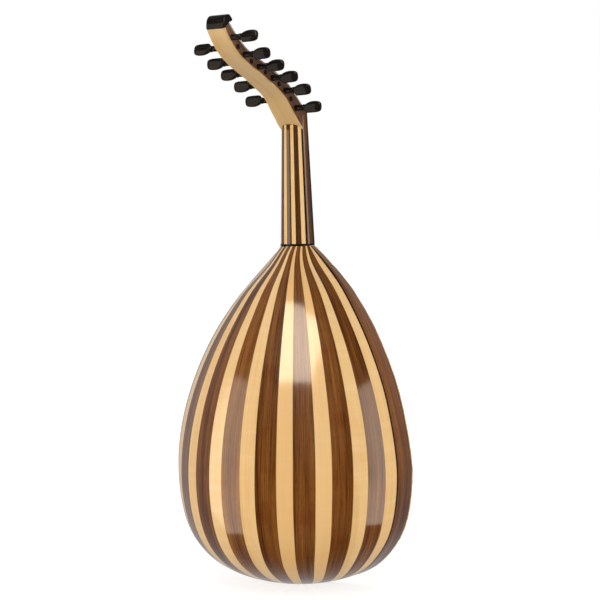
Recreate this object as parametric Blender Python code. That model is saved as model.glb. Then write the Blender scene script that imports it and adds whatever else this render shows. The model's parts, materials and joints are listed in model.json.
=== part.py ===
"""An eleven-string oud: a striped bowl of ribs, a striped neck and a bent-back pegbox with eleven pegs."""

import math

import bmesh
import bpy
import numpy as np
from mathutils import Matrix, Vector

# Driving dimensions in metres. Y = 0 is the soundboard's outer face and +Y runs into the bowl. +Z runs up
# the neck. The origin is where a wall hanger's fork holds the neck, just below the pegbox.
STRING_LENGTH = 0.585
NECK_LENGTH = 0.195
NUT_Z = 0.045
BOWL_LENGTH = 0.478
GAP = 0.0003

JOINT_Z = NUT_Z - NECK_LENGTH
BRIDGE_Z = NUT_Z - STRING_LENGTH

# The bowl
RIB_COUNT = 21
RIB_THICKNESS = 0.003
RIB_STATIONS = 28
STATION_CROWDING = 1.25
HOLLOW_CLEARANCE = 0.0022
DARK_RIB_ANGLE = math.radians(9.83)
PALE_RIB_ANGLE = math.radians(7.74)
SIDE_RISE = 0.0175
SIDE_RISE_AT_HEEL = 0.008
TAIL_LEAN = 0.06
SOUNDBOARD_THICKNESS = 0.0018
SIDE_FOOT = SOUNDBOARD_THICKNESS + GAP

# Each sound hole: name, X, distance below the neck joint, radius and number of sides
SOUND_HOLES = [
    ("main_hole", 0.0, 0.165, 0.039, 32),
    ("left_hole", -0.054, 0.243, 0.0155, 20),
    ("right_hole", 0.054, 0.243, 0.0155, 20),
]

# The neck and the fingerboard
NECK_HALF_WIDTHS = (0.0186, 0.0255)
NECK_ROUNDS = (0.0139, 0.0182)
NECK_SIDES = (0.006, SIDE_RISE_AT_HEEL)
FINGERBOARD_THICKNESS = 0.0025
NUT_DEPTH = 0.004
NUT_RISE = 0.002

# The pegbox
PEGBOX_WIDTHS = (0.0186, 0.0155)
PEGBOX_BACK_THICKNESS = 0.0025
CHEEK_THICKNESS = 0.004
PEGBOX_STEPS = 22

# The pegs
PEG_SPACING = 0.0167
PEG_SIDES = 12
PEG_RADIUS = 0.0042
PEG_TIP_RADIUS = 0.0034
PEG_CLEARANCE = 0.00008
PEG_SHAFT_REACH = 0.0140

# The thumb piece: distance past the shaft, and the half sizes of its oval section
PEG_HEAD = [
    (0.0012, 0.0054, 0.0054),
    (0.0030, 0.0040, 0.0040),
    (0.0052, 0.0034, 0.0058),
    (0.0095, 0.0033, 0.0072),
    (0.0165, 0.0032, 0.0078),
    (0.0235, 0.0030, 0.0070),
    (0.0275, 0.0022, 0.0046),
    (0.0290, 0.0008, 0.0016),
]

# The strings: half the spread of the courses and of a pair, at the nut and at the bridge
COURSES = 6
NUT_SPREAD, BRIDGE_SPREAD = 0.0126, 0.036
NUT_PAIR, BRIDGE_PAIR = 0.0009, 0.0016
BRIDGE_HEIGHT = 0.009
STRING_HEIGHT = 0.0066

MATERIALS = {
    "walnut": ((0.16, 0.075, 0.035), 0.25),
    "maple": ((0.80, 0.55, 0.28), 0.22),
    "cheek_walnut": ((0.20, 0.115, 0.07), 0.5),
    "pale_veneer": ((0.62, 0.42, 0.24), 0.45),
    "ebony": ((0.015, 0.013, 0.012), 0.25),
    "spruce": ((0.78, 0.58, 0.34), 0.45),
    "bone": ((0.85, 0.80, 0.68), 0.35),
    "nylon": ((0.80, 0.78, 0.70), 0.3),
    "wound_string": ((0.55, 0.52, 0.47), 0.35),
}


def material(name):
    """The named wood or string material, made once."""
    if name in bpy.data.materials:
        return bpy.data.materials[name]
    colour, roughness = MATERIALS[name]
    made = bpy.data.materials.new(name)
    made.use_nodes = True
    shader = made.node_tree.nodes["Principled BSDF"]
    shader.inputs["Base Color"].default_value = (*colour, 1.0)
    shader.inputs["Roughness"].default_value = roughness
    shader.inputs["Metallic"].default_value = 0.6 if name == "wound_string" else 0.0
    return made


def smoothstep(value):
    value = min(max(value, 0.0), 1.0)
    return value * value * (3 - 2 * value)


def between(ends, share):
    return ends[0] + (ends[1] - ends[0]) * share


def spline(points):
    """A smooth function through the points, a natural cubic."""
    x, y = np.array(points, float).T
    last = len(x) - 1
    h = np.diff(x)
    rows = np.eye(last + 1)
    right = np.zeros(last + 1)
    for i in range(1, last):
        rows[i, i - 1 : i + 2] = h[i - 1], 2 * (h[i - 1] + h[i]), h[i]
        right[i] = 6 * ((y[i + 1] - y[i]) / h[i] - (y[i] - y[i - 1]) / h[i - 1])
    bend = np.linalg.solve(rows, right)

    def value(t):
        i = min(max(int(np.searchsorted(x, t)) - 1, 0), last - 1)
        a, b = x[i + 1] - t, t - x[i]
        cubic = (bend[i] * a**3 + bend[i + 1] * b**3) / (6 * h[i])
        left = (y[i] / h[i] - bend[i] * h[i] / 6) * a
        return float(cubic + left + (y[i + 1] / h[i] - bend[i + 1] * h[i] / 6) * b)

    return value


def add_object(name, mesh, material_name):
    mesh.materials.append(material(material_name))
    obj = bpy.data.objects.new(name, mesh)
    bpy.context.scene.collection.objects.link(obj)
    return obj


def loft(name, rings, material_name, smooth=False, matched=False):
    """A closed solid through rings of points, with a flat cap at each end.

    Matched solids have their sides split so that the walls of two neighbours bend the same way.
    """
    mesh = bpy.data.meshes.new(name)
    shape = bmesh.new()
    rows = [[shape.verts.new(point) for point in ring] for ring in rings]
    for below, above in zip(rows, rows[1:]):
        for i in range(len(below)):
            j = (i + 1) % len(below)
            corners = (below[i], below[j], above[j], above[i])
            if not matched:
                shape.faces.new(corners)
                continue
            if j == 0:
                corners = corners[1:] + corners[:1]
            shape.faces.new(corners[:3])
            shape.faces.new((corners[0], *corners[2:]))
    shape.faces.new(rows[0][::-1])
    shape.faces.new(rows[-1])
    bmesh.ops.recalc_face_normals(shape, faces=shape.faces)
    shape.to_mesh(mesh)
    shape.free()
    if smooth:
        mesh.shade_smooth()
        mesh.set_sharp_from_angle(angle=math.radians(40))
    return add_object(name, mesh, material_name)


def prism(name, outline, half_widths, material_name):
    """An outline of (y, z) points made solid across X, between the two X values."""
    rings = [[(x, y, z) for y, z in outline] for x in half_widths]
    return loft(name, rings, material_name)


def as_cutter(obj):
    obj.hide_render = True
    obj.display_type = "WIRE"
    return obj


def boolean(obj, cutter, operation="DIFFERENCE"):
    modifier = obj.modifiers.new(f"{operation.lower()}_{cutter.name}", "BOOLEAN")
    modifier.object = as_cutter(cutter)
    modifier.operation = operation
    modifier.solver = "EXACT"


# ---------------------------------------------------------------- the bowl

# A cross-section is a half ellipse on straight sides. Its half width and its depth, squared, are what is left
# of the length times these spreads, which makes the tail round.
SPREAD_AT = (0, 0.03, 0.06, 0.095, 0.129, 0.17, 0.22, 0.27, 0.319, 0.365, 0.408, 0.445, BOWL_LENGTH)
WIDTH_SPREADS = [0.00136, 0.00493, 0.01443, 0.02905, 0.04669, 0.07166, 0.10879]
WIDTH_SPREADS += [0.15394, 0.20675, 0.27187, 0.35731, 0.46641, 0.64588]
DEPTH_SPREADS = [0.00066, 0.00428, 0.01091, 0.02003, 0.03258, 0.05178, 0.08085]
DEPTH_SPREADS += [0.11697, 0.1621, 0.21795, 0.28667, 0.34969, 0.38356]
width_spread = spline(list(zip(SPREAD_AT, WIDTH_SPREADS)))
depth_spread = spline(list(zip(SPREAD_AT, DEPTH_SPREADS)))

# The shoulders: how far each side spreads beyond the ellipse, and how close to the side it stays
FLARE_AT = (0, 0.02, 0.045, 0.07, 0.1, 0.14, 0.19, 0.25, 0.31)
FLARES = (0, 0.01036, 0.01202, 0.00925, 0.00743, 0.00417, 0.00168, -0.00162, 0)
FLARE_POWER = 30
shoulder_flare = spline(list(zip(FLARE_AT, FLARES)))


def bowl_half_width(t):
    return math.sqrt((BOWL_LENGTH - t) * width_spread(t))


def bowl_round(t):
    return math.sqrt((BOWL_LENGTH - t) * depth_spread(t))


def side_flare(t):
    return shoulder_flare(t) if t < FLARE_AT[-1] else 0.0


def bowl_rise(t):
    """The height of the straight side at a distance t below the neck joint."""
    return between((SIDE_RISE_AT_HEEL, SIDE_RISE), smoothstep(t / 0.12))


def bowl_outer(t, angle):
    """A point of the bowl's outer face: angle 0 is the -X side, and a half turn is the +X side."""
    lean = bowl_round(t) * TAIL_LEAN * smoothstep((t / BOWL_LENGTH - 0.3) / 0.6)
    across = math.cos(angle)
    x = -bowl_half_width(t) * across - side_flare(t) * math.copysign(abs(across) ** FLARE_POWER, across)
    y = bowl_rise(t) + bowl_round(t) * math.sin(angle)
    return Vector((x, y, JOINT_Z - t - lean * math.sin(angle)))


def bowl_normal(t, angle):
    step_t, step_angle = 0.0002, 0.002
    along = bowl_outer(min(t + step_t, BOWL_LENGTH * 0.9999), angle) - bowl_outer(max(t - step_t, 0), angle)
    across = bowl_outer(t, angle + step_angle) - bowl_outer(t, angle - step_angle)
    return across.cross(along).normalized()


def bowl_point(t, angle, inset=0.0):
    return bowl_outer(t, angle) - inset * bowl_normal(t, angle)


def side_point(t, plus_side, y, inset=0.0):
    """A point at height y on the straight side."""
    point = bowl_point(t, math.pi if plus_side else 0.0, inset)
    point.y = y
    return point


def rib_angles():
    """The angle of each seam between ribs, from the -X side round to the +X side."""
    inner = [DARK_RIB_ANGLE if i % 2 else PALE_RIB_ANGLE for i in range(RIB_COUNT - 2)]
    side = (math.pi - sum(inner)) / 2
    angles = [0.0, side]
    for angle in inner:
        angles.append(angles[-1] + angle)
    return angles + [math.pi]


def rib_stations(first=GAP, last_share=0.9985):
    """Distances below the neck joint, closer together at the shoulders and towards the round tail."""
    end = math.asin(last_share)
    shares = [(i / (RIB_STATIONS - 1)) ** STATION_CROWDING for i in range(RIB_STATIONS)]
    return [max(first, BOWL_LENGTH * math.sin(end * share)) for share in shares]


def make_ribs():
    seams = rib_angles()
    for number in range(RIB_COUNT):
        first, last = number == 0, number == RIB_COUNT - 1
        rings = []
        for t in rib_stations():
            slack = 0.7 * GAP / math.sqrt(bowl_half_width(t) * bowl_round(t))
            low = seams[number] if first else seams[number] + slack
            high = seams[number + 1] if last else seams[number + 1] - slack
            outer = [bowl_point(t, low), bowl_point(t, high)]
            inner = [bowl_point(t, high, RIB_THICKNESS), bowl_point(t, low, RIB_THICKNESS)]
            if first:
                outer.insert(0, side_point(t, False, SIDE_FOOT))
                inner.append(side_point(t, False, SIDE_FOOT, RIB_THICKNESS))
            if last:
                outer.append(side_point(t, True, SIDE_FOOT))
                inner.insert(0, side_point(t, True, SIDE_FOOT, RIB_THICKNESS))
            rings.append(outer + inner)
        dark = number % 2 == 0
        loft(f"rib_{number + 1:02d}", rings, "walnut" if dark else "maple", matched=True)


def bowl_section(t, inset, foot, steps=14):
    """The whole cross-section at t as a ring of points, inset from the bowl's outer face."""
    arc = [bowl_point(t, math.pi * i / steps, inset) for i in range(steps + 1)]
    return [side_point(t, False, foot, inset)] + arc + [side_point(t, True, foot, inset)]


def make_bowl_fittings():
    """The blocks and bars inside the bowl, trimmed to its hollow, and the cap over the ribs' tail ends."""
    clear = RIB_THICKNESS + HOLLOW_CLEARANCE

    def hollow(name):
        stations = rib_stations(first=0.002, last_share=0.995)
        return loft(name, [bowl_section(t, clear, SIDE_FOOT) for t in stations], "spruce")

    def fitted(name, low, high):
        outline = [(low[1], low[2]), (high[1], low[2]), (high[1], high[2]), (low[1], high[2])]
        bar = prism(name, outline, (low[0], high[0]), "spruce")
        boolean(bar, hollow(f"{name}_hollow"), "INTERSECT")

    fitted("neck_block", (-0.04, SIDE_FOOT, JOINT_Z - 0.045), (0.04, 0.07, JOINT_Z))
    tail = JOINT_Z - BOWL_LENGTH
    fitted("tail_block", (-0.05, SIDE_FOOT, tail - 0.01), (0.05, 0.05, tail + 0.03))
    for number, t in enumerate((0.095, 0.255, 0.325)):
        low, high = JOINT_Z - t - 0.003, JOINT_Z - t + 0.003
        fitted(f"brace_{number + 1}", (-0.2, SIDE_FOOT, low), (0.2, SIDE_FOOT + 0.014, high))

    edge = rib_stations()[-1] + GAP
    outer = bowl_section(edge, 0.0, SIDE_FOOT)
    inner = bowl_section(edge, RIB_THICKNESS, SIDE_FOOT)
    loft("end_clasp", [outer, inner], "ebony")


def make_soundboard():
    """The flat front with its three sound holes, and the pierced rosette behind the large one."""
    stations = [max(GAP, BOWL_LENGTH * math.sin(math.pi / 2 * i / 30)) for i in range(30)]
    left = [(-bowl_half_width(t) - side_flare(t), JOINT_Z - t) for t in stations]
    outline = left + [(0, JOINT_Z - BOWL_LENGTH)] + [(-x, z) for x, z in left[::-1]]
    rings = [[(x, y, z) for x, z in outline] for y in (0, SOUNDBOARD_THICKNESS)]
    board = loft("soundboard", rings, "spruce")
    for name, x, t, radius, sides in SOUND_HOLES:
        boolean(board, disc(f"{name}_cutter", x, JOINT_Z - t, radius, (-0.01, 0.01), sides, "spruce"))

    _, x, t, radius, sides = SOUND_HOLES[0]
    depth = (SIDE_FOOT, SIDE_FOOT + 0.0015)
    rosette = disc("main_rosette", x, JOINT_Z - t, radius + 0.004, depth, 32, "bone")
    boolean(rosette, disc("rosette_middle", x, JOINT_Z - t, 0.008, (-0.01, 0.01), 12, "bone"))
    for i in range(8):
        turn = math.tau * i / 8
        place = (x + 0.024 * math.sin(turn), JOINT_Z - t + 0.024 * math.cos(turn))
        boolean(rosette, disc(f"rosette_opening_{i}", *place, 0.0075, (-0.01, 0.01), 10, "bone"))


def disc(name, x, z, radius, ys, sides, material_name):
    """A round plate facing Y."""
    turns = [math.tau * (i + 0.5) / sides for i in range(sides)]
    rings = [[(x + radius * math.cos(a), y, z + radius * math.sin(a)) for a in turns] for y in ys]
    return loft(name, rings, material_name)


# ---------------------------------------------------------------- the neck


def neck_section(share, foot, z_of, grow=0.0, steps=12):
    """The neck's section as a ring: flat front, straight sides and an elliptical back. Share 0 is the nut."""
    half = between(NECK_HALF_WIDTHS, share) + grow
    deep = between(NECK_ROUNDS, share) + grow
    side = between(NECK_SIDES, share)
    flat = [(-half, foot)]
    arc = [math.pi * i / steps for i in range(steps + 1)]
    flat += [(-half * math.cos(a), side + deep * math.sin(a)) for a in arc]
    flat.append((half, foot))
    return [(x, y, z_of(y)) for x, y in flat]


NECK_FOOT = FINGERBOARD_THICKNESS + GAP
NECK_TOP_SLOPE = 1.36


def neck_top(y):
    """The height of the neck's slanted upper end at a depth y."""
    return NUT_Z - 0.0005 - NECK_TOP_SLOPE * (y - NECK_FOOT)


def neck_solid(name, foot, grow=0.0, heel_z=JOINT_Z + GAP):
    middle = NUT_Z - 0.05
    rings = [
        neck_section(1.0, foot, lambda y: heel_z, grow),
        neck_section((NUT_Z - middle) / NECK_LENGTH, foot, lambda y: middle, grow),
        neck_section(0.0, foot, lambda y: neck_top(y) + grow, grow),
    ]
    return loft(name, rings, "walnut", smooth=True)


def make_neck():
    neck_solid("neck", NECK_FOOT)
    top, bottom = NUT_Z - 0.0005 - NUT_DEPTH - GAP, JOINT_Z + GAP
    share = (NUT_Z - top) / NECK_LENGTH
    outline = [(-between(NECK_HALF_WIDTHS, share), top), (between(NECK_HALF_WIDTHS, share), top)]
    outline += [(NECK_HALF_WIDTHS[1], bottom), (-NECK_HALF_WIDTHS[1], bottom)]
    rings = [[(x, y, z) for x, z in outline] for y in (0, FINGERBOARD_THICKNESS)]
    loft("fingerboard", rings, "ebony")
    low, high = NUT_Z - 0.0005 - NUT_DEPTH, NUT_Z - 0.0005
    nut = [(-NUT_RISE, low + 0.001), (-NUT_RISE, high - 0.0006), (-0.0014, high)]
    nut += [(FINGERBOARD_THICKNESS, high), (FINGERBOARD_THICKNESS, low), (-0.001, low)]
    prism("nut", nut, (-NECK_HALF_WIDTHS[0] + 0.0004, NECK_HALF_WIDTHS[0] - 0.0004), "bone")


# ---------------------------------------------------------------- the pegbox

# The middle line of the pegbox in its own plane, as depth behind the nut's face and height above the nut.
PEGBOX_LINE = [(0.0111, -0.0131), (0.0235, -0.0004), (0.0446, 0.0219), (0.0715, 0.0385), (0.0956, 0.0509)]
PEGBOX_LINE += [(0.1295, 0.067), (0.1494, 0.0812), (0.1617, 0.094), (0.1722, 0.1076)]
pegbox_runs = [0.0]
for near, far in zip(PEGBOX_LINE, PEGBOX_LINE[1:]):
    pegbox_runs.append(pegbox_runs[-1] + math.dist(near, far))
PEGBOX_LENGTH = pegbox_runs[-1]
pegbox_y = spline([(run, y) for run, (y, _) in zip(pegbox_runs, PEGBOX_LINE)])
pegbox_z = spline([(run, NUT_Z + z) for run, (_, z) in zip(pegbox_runs, PEGBOX_LINE)])
PEGBOX_DEPTHS = [(0, 0.0260), (0.018, 0.0242), (0.05, 0.0216), (0.08, 0.0206), (0.107, 0.0197)]
PEGBOX_DEPTHS += [(0.145, 0.0184), (0.169, 0.0184), (0.187, 0.0168), (PEGBOX_LENGTH, 0.0142)]
pegbox_depth = spline(PEGBOX_DEPTHS)
PEGBOX_START = 0.003
FIRST_PEG_RUN = 0.0187
PEG_SETBACK = 0.0017
ARCH_DROP = 0.0205


def pegbox_half_width(run):
    return between(PEGBOX_WIDTHS, run / PEGBOX_LENGTH)


def pegbox_point(run, offset):
    """The (y, z) point at a distance along the middle line, and an offset towards the strings from it."""
    step = 0.0005
    before, after = run - step, run + step
    tangent = Vector((pegbox_y(after) - pegbox_y(before), pegbox_z(after) - pegbox_z(before)))
    tangent.normalize()
    return Vector((pegbox_y(run) - offset * tangent.y, pegbox_z(run) + offset * tangent.x)), tangent


def pegbox_runs_between(start, end):
    return [start + (end - start) * i / PEGBOX_STEPS for i in range(PEGBOX_STEPS + 1)]


def box_ring(low_x, high_x, front, back):
    return [(low_x, *front), (high_x, *front), (high_x, *back), (low_x, *back)]


def peg_runs():
    """Each peg's distance along the pegbox, and whether its head is on the -X side."""
    return [(FIRST_PEG_RUN + PEG_SPACING * i, i % 2 == 0) for i in range(11)]


def peg_centre(run):
    """The (y, z) point where a peg crosses, a little behind the middle line."""
    return pegbox_point(run, -PEG_SETBACK)[0]


def make_pegbox():
    runs = pegbox_runs_between(PEGBOX_START + GAP, PEGBOX_LENGTH)
    for side, name in ((-1, "pegbox_cheek_left"), (1, "pegbox_cheek_right")):
        rings = []
        for run in runs:
            depth = pegbox_depth(run)
            front = pegbox_point(run, depth / 2)[0]
            back = pegbox_point(run, -depth / 2 + PEGBOX_BACK_THICKNESS + GAP)[0]
            outer = side * pegbox_half_width(run)
            rings.append(box_ring(outer - side * CHEEK_THICKNESS, outer, front, back))
        cheek = loft(name, rings, "cheek_walnut")
        for i, (run, head_left) in enumerate(peg_runs()):
            boolean(cheek, peg_hole(f"{name}_hole_{i}", run, head_left))

    rings = []
    for run in runs:
        depth = pegbox_depth(run)
        half = pegbox_half_width(run)
        inner = pegbox_point(run, -depth / 2 + PEGBOX_BACK_THICKNESS)[0]
        rings.append(box_ring(-half, half, inner, pegbox_point(run, -depth / 2)[0]))
    start, tangent = pegbox_point(PEGBOX_START, 0)
    half = pegbox_half_width(0)
    depth = pegbox_depth(PEGBOX_START)
    outer_end = pegbox_point(PEGBOX_START, -depth / 2)[0]
    inner_end = pegbox_point(PEGBOX_START, -depth / 2 + PEGBOX_BACK_THICKNESS)[0]
    drop = tangent * ARCH_DROP
    rings.insert(0, box_ring(-half, half, inner_end - drop, outer_end - drop))
    back = loft("pegbox_back", rings, "pale_veneer")
    boolean(back, neck_solid("neck_shape_for_back", -0.002, GAP, JOINT_Z))

    front = pegbox_point(PEGBOX_START, depth / 2)[0]
    under = pegbox_point(PEGBOX_START, -depth / 2 + PEGBOX_BACK_THICKNESS + GAP)[0]
    root = [(NECK_FOOT + 0.0001, NUT_Z - 0.001), tuple(front), tuple(under), tuple(under - drop * 0.97)]
    half -= 0.0002
    block = prism("pegbox_root", root, (-half, half), "cheek_walnut")
    boolean(block, neck_solid("neck_shape_for_root", -0.002, GAP, JOINT_Z))


# The cap's outline from its back corner over the top to the lip on the strings' side, as (y, z) offsets from
# the end of the pegbox's middle line
FINIAL_OUTLINE = [(0.0065, 0.0022), (0.0059, 0.0059), (0.0045, 0.0101), (0.0021, 0.0130), (-0.0025, 0.0152)]
FINIAL_OUTLINE += [(-0.0063, 0.0154), (-0.0105, 0.0118), (-0.0134, 0.0087), (-0.0114, 0.0064)]


def make_finial():
    """The rounded cap on the pegbox's upper end."""
    depth = pegbox_depth(PEGBOX_LENGTH)
    middle, tangent = pegbox_point(PEGBOX_LENGTH, 0)
    base = tangent * GAP
    front = pegbox_point(PEGBOX_LENGTH, depth / 2)[0] + base
    back = pegbox_point(PEGBOX_LENGTH, -depth / 2 - 0.0006)[0] + base
    outline = [tuple(back)] + [tuple(middle + Vector(offset)) for offset in FINIAL_OUTLINE] + [tuple(front)]
    half = pegbox_half_width(PEGBOX_LENGTH) + 0.0004
    cap = prism("finial", outline, (-half, half), "ebony")
    bevel = cap.modifiers.new("soft_edges", "BEVEL")
    bevel.width = 0.0009
    bevel.segments = 2
    bevel.limit_method = "ANGLE"
    bevel.angle_limit = math.radians(50)


# ---------------------------------------------------------------- the pegs


def ring_across_x(x, half_y, half_z, sides):
    turns = [math.tau * (i + 0.5) / sides for i in range(sides)]
    return [(x, half_y * math.cos(a), half_z * math.sin(a)) for a in turns]


def peg_radius(x, reach):
    """The shaft's radius at x: it is thickest at the head's side, x = reach, and tapers to x = -reach."""
    return between((PEG_RADIUS, PEG_TIP_RADIUS), (reach - x) / (2 * reach))


def peg_hole(name, run, head_left):
    reach = pegbox_half_width(run)
    sides = 16
    grow = PEG_CLEARANCE
    rings = []
    for x in (reach + 0.01, -reach - 0.01):
        radius = (peg_radius(x, reach) + grow) / math.cos(math.pi / sides)
        rings.append(ring_across_x(x, radius, radius, sides))
    cutter = loft(name, rings, "cheek_walnut")
    place_peg(cutter, run, head_left)
    return cutter


def place_peg(obj, run, head_left):
    centre = peg_centre(run)
    turn = Matrix.Rotation(math.pi, 4, "Y") if head_left else Matrix.Identity(4)
    obj.matrix_world = Matrix.Translation((0, *centre)) @ turn


def make_pegs():
    """Each peg is a tapered shaft, a flared collar and a flat rounded thumb piece."""
    for number, (run, head_left) in enumerate(peg_runs()):
        reach = pegbox_half_width(run)
        rings = []
        tip = reach + 0.0015
        for x in (-tip, reach + PEG_SHAFT_REACH):
            radius = peg_radius(x, reach)
            rings.append(ring_across_x(x, radius, radius, PEG_SIDES))
        for along, half_y, half_z in PEG_HEAD:
            rings.append(ring_across_x(reach + PEG_SHAFT_REACH + along, half_y, half_z, PEG_SIDES))
        peg = loft(f"peg_{number + 1:02d}", rings, "ebony", smooth=True)
        place_peg(peg, run, head_left)


# ---------------------------------------------------------------- the bridge and the strings


def make_bridge():
    """A low bar with thin wings, glued across the soundboard."""
    rings = [(-0.058, 0.0022, 0.004), (-0.046, 0.0034, 0.0055), (-0.0415, BRIDGE_HEIGHT, 0.006)]
    rings += [(-x, height, depth) for x, height, depth in rings[::-1]]
    sections = []
    for x, height, depth in rings:
        shape = [(-GAP, -depth), (-GAP, depth), (-height + 0.002, depth), (-height, depth - 0.003)]
        shape.append((-height, -depth))
        sections.append([(x, y, BRIDGE_Z - 0.006 + z) for y, z in shape])
    loft("bridge", sections, "walnut")


def string_lines():
    """Each string's X at the nut and at the bridge: the lowest course, at -X, is a single string."""
    lines = []
    for course in range(COURSES):
        nut_x = between((-NUT_SPREAD, NUT_SPREAD), course / (COURSES - 1))
        bridge_x = between((-BRIDGE_SPREAD, BRIDGE_SPREAD), course / (COURSES - 1))
        for side in (0,) if course == 0 else (-1, 1):
            lines.append((nut_x + side * NUT_PAIR, bridge_x + side * BRIDGE_PAIR))
    return lines


def string_radius(number):
    return between((0.00055, 0.00030), number / 10)


def string_pegs():
    """The peg that each string winds on: the outer strings take the pegs nearest to the nut."""
    order = sorted(range(11), key=lambda i: -abs(string_lines()[i][0]))
    return {string: peg for peg, string in enumerate(order)}


def taut_path(start, peg, clear):
    """The shortest (y, z) way from the nut to the front of a peg, over the shafts that lie between."""
    target = peg_centre(peg_runs()[peg][0])
    _, tangent = pegbox_point(peg_runs()[peg][0], 0)
    end = target + Vector((-tangent.y, tangent.x)) * clear
    points = [Vector(start)]
    for run, _ in peg_runs()[:peg]:
        centre = peg_centre(run)
        for i in range(9):
            turn = math.pi * (0.3 + 0.6 * i / 8)
            points.append(centre + Vector((math.cos(turn), math.sin(turn))) * clear)
    points = sorted((p for p in points if p.x < end.x), key=lambda p: p.x) + [end]
    hull = []
    for point in points:
        while len(hull) > 1:
            a, b = hull[-1] - hull[-2], point - hull[-1]
            if a.x * b.y - a.y * b.x < 0:
                break
            hull.pop()
        hull.append(point)
    return hull


def make_strings():
    """Each string runs from the bridge over the nut and back through the pegbox to its own peg's front."""
    pegs = string_pegs()
    for number, (nut_x, bridge_x) in enumerate(string_lines()):
        radius = string_radius(number)
        lift = radius + GAP + 0.0001
        peg = pegs[number]
        crest = NUT_Z - 0.0025
        start = (-NUT_RISE - lift, NUT_Z + 0.0004)
        route = [(bridge_x, -STRING_HEIGHT, BRIDGE_Z + GAP), (nut_x, -NUT_RISE - lift, crest)]
        way = taut_path(start, peg, PEG_RADIUS + lift + 0.0002)
        peg_x = max(-0.0095, min(0.0095, nut_x))
        total = max(way[-1].x - way[0].x, 0.001)
        for point in way:
            route.append((between((nut_x, peg_x), (point.x - way[0].x) / total), *point))
        curve = bpy.data.curves.new(f"string_{number + 1:02d}", "CURVE")
        curve.dimensions = "3D"
        line = curve.splines.new("POLY")
        line.points.add(len(route) - 1)
        for place, point in zip(line.points, route):
            place.co = (*point, 1)
        curve.bevel_depth = radius
        curve.bevel_resolution = 2
        curve.use_fill_caps = True
        add_object(f"string_{number + 1:02d}", curve, "wound_string" if number < 5 else "nylon")


def main():
    for obj in list(bpy.data.objects):
        bpy.data.objects.remove(obj, do_unlink=True)
    make_ribs()
    make_bowl_fittings()
    make_soundboard()
    make_neck()
    make_pegbox()
    make_finial()
    make_pegs()
    make_bridge()
    make_strings()


main()
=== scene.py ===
"""The looks of an oud: lacquered striped bowl and neck, veneered pegbox, ebony pegs, strings, soundboard."""

import json
import math

import bpy
import numpy as np
from mathutils import Matrix, Vector


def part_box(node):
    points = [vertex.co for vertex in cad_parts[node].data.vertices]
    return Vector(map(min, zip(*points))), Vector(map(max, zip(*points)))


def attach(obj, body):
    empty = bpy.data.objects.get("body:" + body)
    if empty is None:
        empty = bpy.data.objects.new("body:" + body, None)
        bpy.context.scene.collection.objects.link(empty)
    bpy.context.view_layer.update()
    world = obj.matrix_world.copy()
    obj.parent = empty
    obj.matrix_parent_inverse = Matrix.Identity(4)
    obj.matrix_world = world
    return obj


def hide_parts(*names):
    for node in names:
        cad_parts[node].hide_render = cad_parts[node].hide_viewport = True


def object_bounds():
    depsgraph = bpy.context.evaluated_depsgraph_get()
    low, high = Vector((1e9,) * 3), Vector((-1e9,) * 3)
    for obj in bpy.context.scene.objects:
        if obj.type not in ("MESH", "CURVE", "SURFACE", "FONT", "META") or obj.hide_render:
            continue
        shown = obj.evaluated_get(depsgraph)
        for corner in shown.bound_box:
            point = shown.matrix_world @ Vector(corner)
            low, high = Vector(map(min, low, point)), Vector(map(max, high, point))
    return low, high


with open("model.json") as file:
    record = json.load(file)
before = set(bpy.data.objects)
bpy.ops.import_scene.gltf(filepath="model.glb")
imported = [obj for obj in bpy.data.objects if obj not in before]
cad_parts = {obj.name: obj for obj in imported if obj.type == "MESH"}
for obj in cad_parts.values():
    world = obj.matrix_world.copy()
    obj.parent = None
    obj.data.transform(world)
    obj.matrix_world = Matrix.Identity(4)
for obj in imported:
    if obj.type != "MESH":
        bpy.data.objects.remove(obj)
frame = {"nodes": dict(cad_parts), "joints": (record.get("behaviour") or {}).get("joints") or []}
cad_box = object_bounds()

# Everything is in metres, in the CAD's frame: +Z up the neck, +Y from the soundboard into the bowl.
GAP = 0.0003
NUT_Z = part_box("nut")[1].z + 0.0005
JOINT_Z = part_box("soundboard")[1].z + GAP
TAIL_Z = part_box("soundboard")[0].z
BOWL_LENGTH = JOINT_Z - TAIL_Z
NECK_LENGTH = NUT_Z - JOINT_Z

# The bowl's shape, as in the CAD, and the finish of its ribs
RIB_COUNT = 21
DARK_RIB_ANGLE = math.radians(9.83)
PALE_RIB_ANGLE = math.radians(7.74)
SIDE_RISE = 0.0175
SIDE_RISE_AT_HEEL = 0.008
TAIL_LEAN = 0.06
SIDE_FOOT = 0.0021
RIB_THICKNESS = 0.0026
RIB_ROUNDNESS = 0.28
RIB_STATIONS = 84
RIB_COLUMNS = 7
SIDE_COLUMNS = 9
INLAY_WIDTH = 0.0024
SIDE_RISE_RUN = 0.12
TAIL_LEAN_STARTS, TAIL_LEAN_RUN = 0.3, 0.6
BOWL_END = 0.9999

# The neck
NECK_HALF_WIDTHS = (0.0186, 0.0255)
NECK_ROUNDS = (0.0139, 0.0182)
NECK_SIDES = (0.006, SIDE_RISE_AT_HEEL)
NECK_FOOT = 0.0028
NECK_TOP_SLOPE = 1.36
NECK_ROWS = 13
NECK_STEP = 4
NECK_STRIP_EDGES = (20.5, 28.0, 46.0, 64.5, 81.0, 99.0, 115.5, 134.0, 152.0, 159.5)
HEEL_BAND = ((0.0001, -0.001), (0.0001, 0.00045), (0.0028, 0.0004), (0.0028, -0.001))
HEEL_BAND_STEPS = 40

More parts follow.
